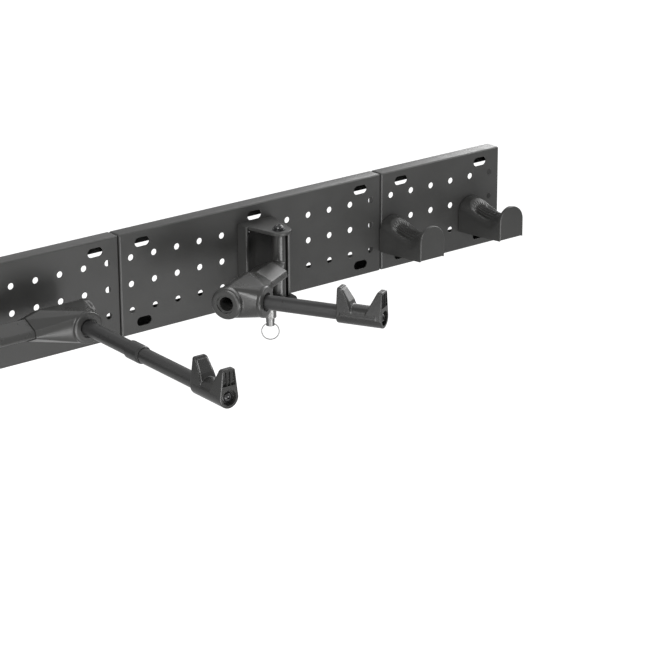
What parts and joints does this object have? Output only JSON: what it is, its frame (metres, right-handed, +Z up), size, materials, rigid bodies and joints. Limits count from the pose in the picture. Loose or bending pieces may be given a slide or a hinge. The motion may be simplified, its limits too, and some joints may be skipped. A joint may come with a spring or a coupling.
{
  "type": "wall-mounted bike rack",
  "caption": "Perforated wall rails with folding V-cradle arms that carry a bicycle by its frame, and moulded hooks for accessories.",
  "frame": {"origin": "on the wall plane, on the upper lip of the main rail in the middle of that rail", "axes": "+X along the rails to the right as seen from the front, +Y into the wall, +Z up"},
  "size_m": [1.1246, 0.4383, 0.1773],
  "materials": {
    "black_powder_coat": "satin black powder coat with a fine orange-peel texture on folded steel",
    "black_cast_coat": "satin black coat on a casting",
    "black_tube_coat": "semi-gloss black coat on drawn tube",
    "black_plastic": "moulded black nylon, finely grained",
    "black_oxide_steel": "oiled black oxide, glossy",
    "zinc_plated_steel": "bright zinc plate"
  },
  "bodies": {
    "root": {"rail_left": "black_powder_coat", "rail_main": "black_powder_coat", "rail_extension": "black_powder_coat", "hook_1": "black_plastic", "hook_2": "black_plastic", "hook_1_upper_screw": "black_oxide_steel", "hook_1_lower_screw": "black_oxide_steel", "hook_2_upper_screw": "black_oxide_steel", "hook_2_lower_screw": "black_oxide_steel", "right_bracket": "black_powder_coat", "right_bracket_bolt_1": "black_oxide_steel", "right_bracket_bolt_2": "black_oxide_steel", "right_bracket_bolt_3": "black_oxide_steel", "right_bracket_bolt_4": "black_oxide_steel", "right_clamp_plate": "zinc_plated_steel", "right_pivot_washer": "black_oxide_steel", "right_upper_thrust_washer": "black_oxide_steel", "right_lower_thrust_washer": "black_oxide_steel", "right_pivot_bolt": "black_oxide_steel", "right_pivot_nut": "black_oxide_steel", "right_pin_housing": "zinc_plated_steel", "left_bracket": "black_powder_coat", "left_bracket_bolt_1": "black_oxide_steel", "left_bracket_bolt_2": "black_oxide_steel", "left_bracket_bolt_3": "black_oxide_steel", "left_bracket_bolt_4": "black_oxide_steel", "left_clamp_plate": "zinc_plated_steel", "left_pivot_washer": "black_oxide_steel", "left_upper_thrust_washer": "black_oxide_steel", "left_lower_thrust_washer": "black_oxide_steel", "left_pivot_bolt": "black_oxide_steel", "left_pivot_nut": "black_oxide_steel", "left_pin_housing": "zinc_plated_steel"},
    "right_swing_arm": {"right_swivel": "black_cast_coat", "right_hub_bolt": "black_oxide_steel"},
    "right_tilt_arm": {"right_hub": "black_cast_coat", "right_socket_bush": "black_plastic", "right_arm_tube": "black_tube_coat", "right_tube_plug": "zinc_plated_steel", "right_cradle_screw": "black_oxide_steel"},
    "right_cradle_head": {"right_cradle": "black_plastic"},
    "right_pull_pin": {"right_lock_pin": "zinc_plated_steel"},
    "right_pull_ring": {"right_pin_ring": "zinc_plated_steel"},
    "left_swing_arm": {"left_swivel": "black_cast_coat", "left_hub_bolt": "black_oxide_steel"},
    "left_tilt_arm": {"left_hub": "black_cast_coat", "left_socket_bush": "black_plastic", "left_extension_tube": "black_tube_coat", "left_coupling_collar": "black_tube_coat", "left_arm_tube": "black_tube_coat", "left_tube_plug": "zinc_plated_steel", "left_cradle_screw": "black_oxide_steel"},
    "left_cradle_head": {"left_cradle": "black_plastic"},
    "left_pull_pin": {"left_lock_pin": "zinc_plated_steel"},
    "left_pull_ring": {"left_pin_ring": "zinc_plated_steel"}
  },
  "joints": [
    {"name": "right_swing", "type": "hinge", "parent": "root", "child": "right_swing_arm", "pos_m": [0, -0.0795, -0.066], "axis": [0, 0, 1], "range_deg": [-37, 71]},
    {"name": "right_tilt", "type": "hinge", "parent": "right_swing_arm", "child": "right_tilt_arm", "pos_m": [0, -0.0795, -0.0685], "axis": [-0.8746, -0.4848, 0], "range_deg": [-90, 30]},
    {"name": "right_cradle_turn", "type": "hinge", "parent": "right_tilt_arm", "child": "right_cradle_head", "pos_m": [-0.12726, -0.15004, -0.0685], "axis": [0.4848, -0.8746, 0], "range_deg": [-45, 45]},
    {"name": "right_pin_pull", "type": "slide", "parent": "root", "child": "right_pull_pin", "axis": [0, 0, 1], "range_m": [0, 0.007]},
    {"name": "right_ring_swing", "type": "hinge", "parent": "right_pull_pin", "child": "right_pull_ring", "pos_m": [-0.02115, -0.08556, -0.146], "axis": [0.788, -0.6157, 0], "range_deg": [-80, 80]},
    {"name": "left_swing", "type": "hinge", "parent": "root", "child": "left_swing_arm", "pos_m": [-0.4875, -0.0795, -0.066], "axis": [0, 0, -1], "range_deg": [-8.7, 99.3]},
    {"name": "left_tilt", "type": "hinge", "parent": "left_swing_arm", "child": "left_tilt_arm", "pos_m": [-0.4875, -0.0795, -0.0685], "axis": [-0.9999, 0.0122, 0], "range_deg": [-90, 30]},
    {"name": "left_cradle_turn", "type": "hinge", "parent": "left_tilt_arm", "child": "left_cradle_head", "pos_m": [-0.34201, -0.08128, -0.0685], "axis": [-0.0122, -0.9999, 0], "range_deg": [-45, 45]},
    {"name": "left_pin_pull", "type": "slide", "parent": "root", "child": "left_pull_pin", "axis": [0, 0, 1], "range_m": [0, 0.007]},
    {"name": "left_ring_swing", "type": "hinge", "parent": "left_pull_pin", "child": "left_pull_ring", "pos_m": [-0.46635, -0.08556, -0.146], "axis": [-0.788, -0.6157, 0], "range_deg": [-80, 80]}
  ]
}
